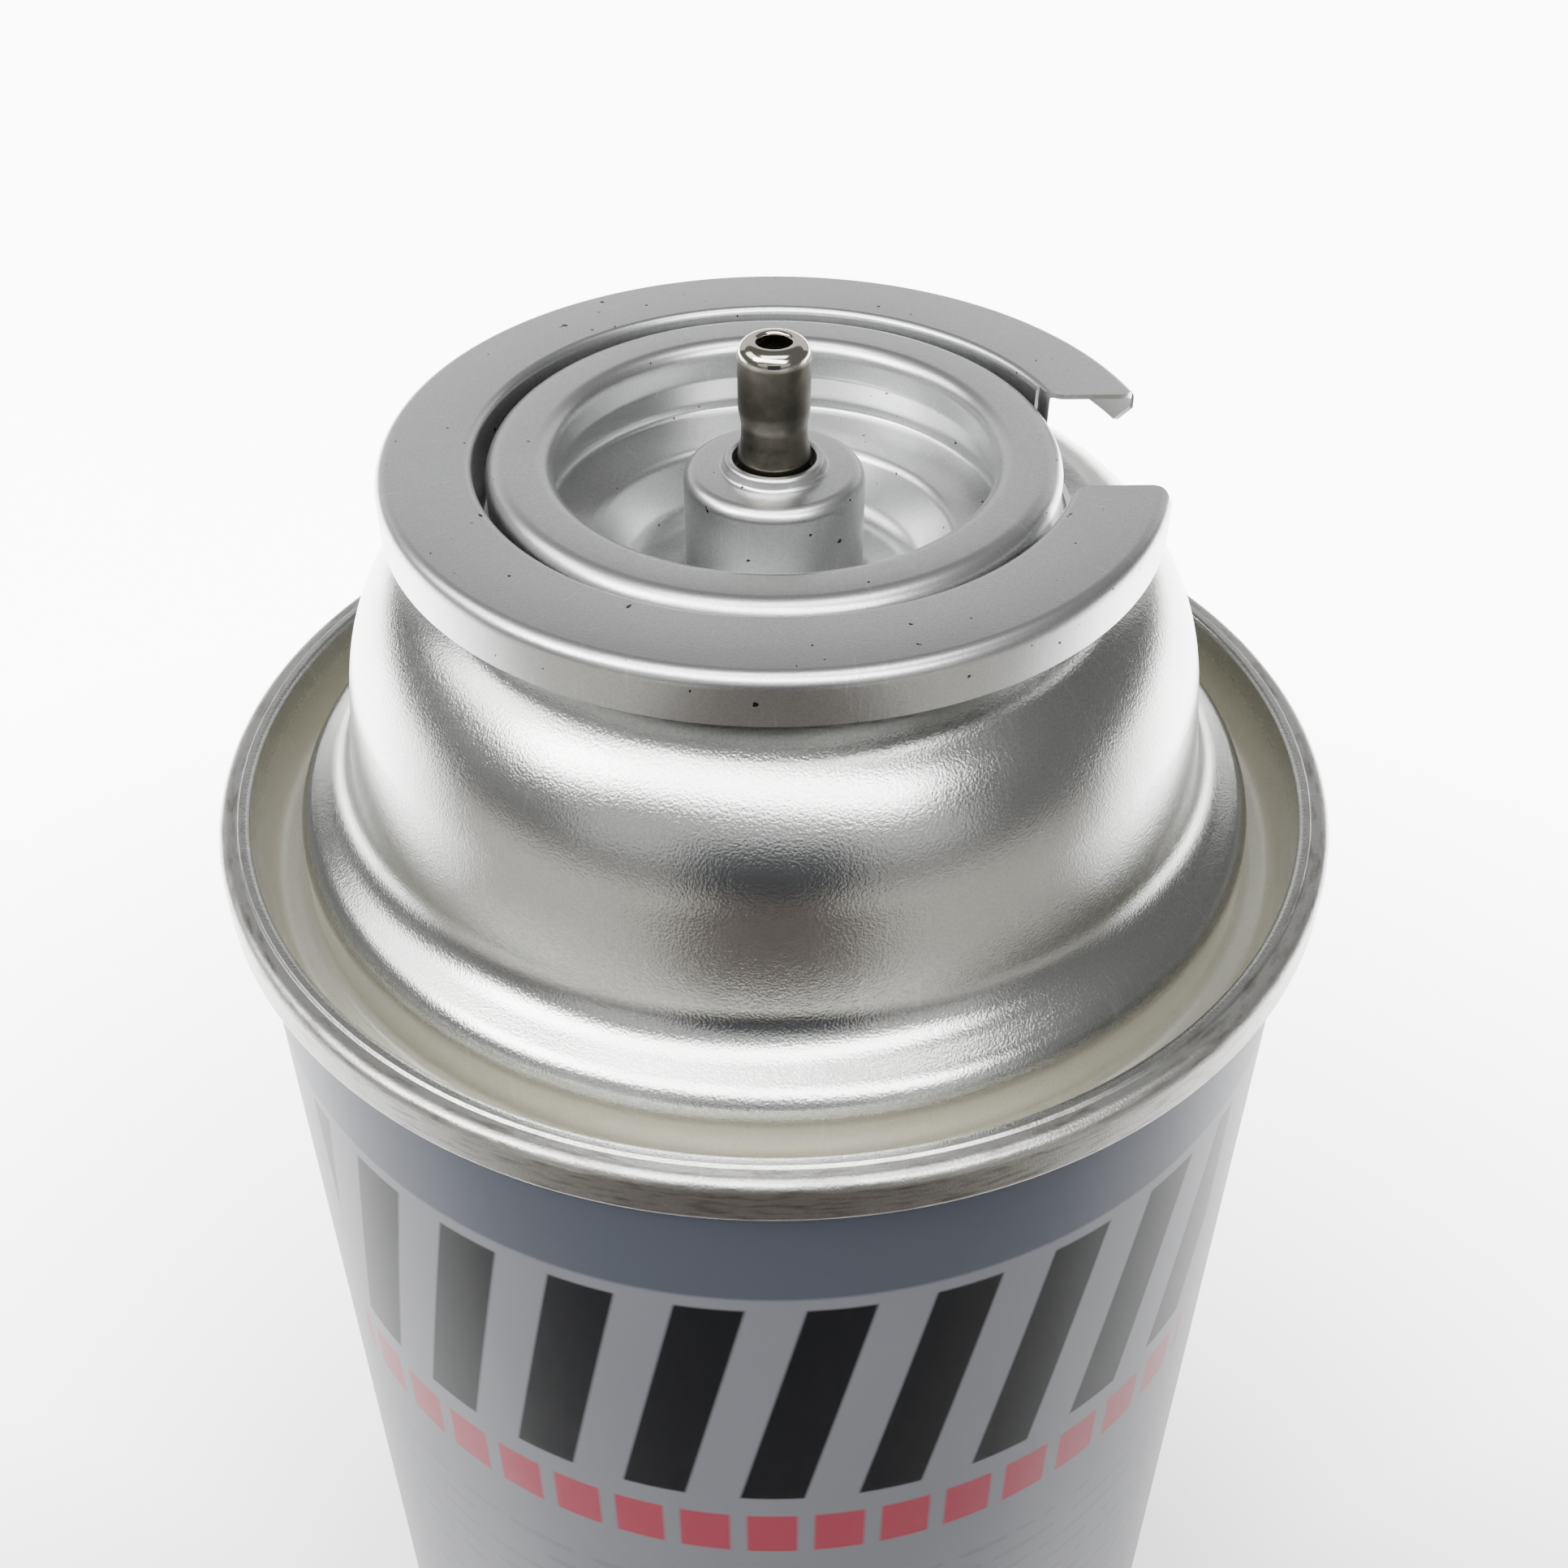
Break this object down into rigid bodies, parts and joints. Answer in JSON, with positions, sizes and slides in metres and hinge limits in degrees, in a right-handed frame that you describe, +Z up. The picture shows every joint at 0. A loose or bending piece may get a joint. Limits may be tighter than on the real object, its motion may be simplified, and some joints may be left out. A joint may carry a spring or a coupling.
{
  "type": "stove gas cartridge",
  "caption": "Slim tinplate fuel cartridge for a portable stove, with a stepped dome, a notched collar and a spring-loaded valve stem in a recessed cup.",
  "frame": {"origin": "centre of the foot ring, on the plane that the can stands on", "axes": "+Z up along the can's axis, -Y towards the printed front, the collar notch close to +X"},
  "size_m": [0.068, 0.068, 0.1857],
  "materials": {
    "printed_tinplate": "gloss print over tinplate",
    "tinplate": "satin",
    "seal_rubber": "matte",
    "valve_plastic": "matte",
    "stem_metal": "turned and polished",
    "spring_steel": "drawn wire",
    "tube_aluminium": "drawn tube"
  },
  "bodies": {
    "canister": {"can": "printed_tinplate", "collar_ring": "tinplate", "valve_cup": "tinplate", "cup_seal": "seal_rubber", "stem_gasket": "seal_rubber", "valve_housing": "valve_plastic", "stem_spring": "spring_steel", "vapour_tube": "tube_aluminium"},
    "stem": {"valve_stem": "stem_metal"}
  },
  "joints": [
    {"name": "stem_press", "type": "slide", "parent": "canister", "child": "stem", "axis": [0, 0, -1], "range_m": [0, 0.0025], "stiffness_N_per_m": 2000, "springref_m": -0.003, "deforming": ["stem_spring"]}
  ]
}
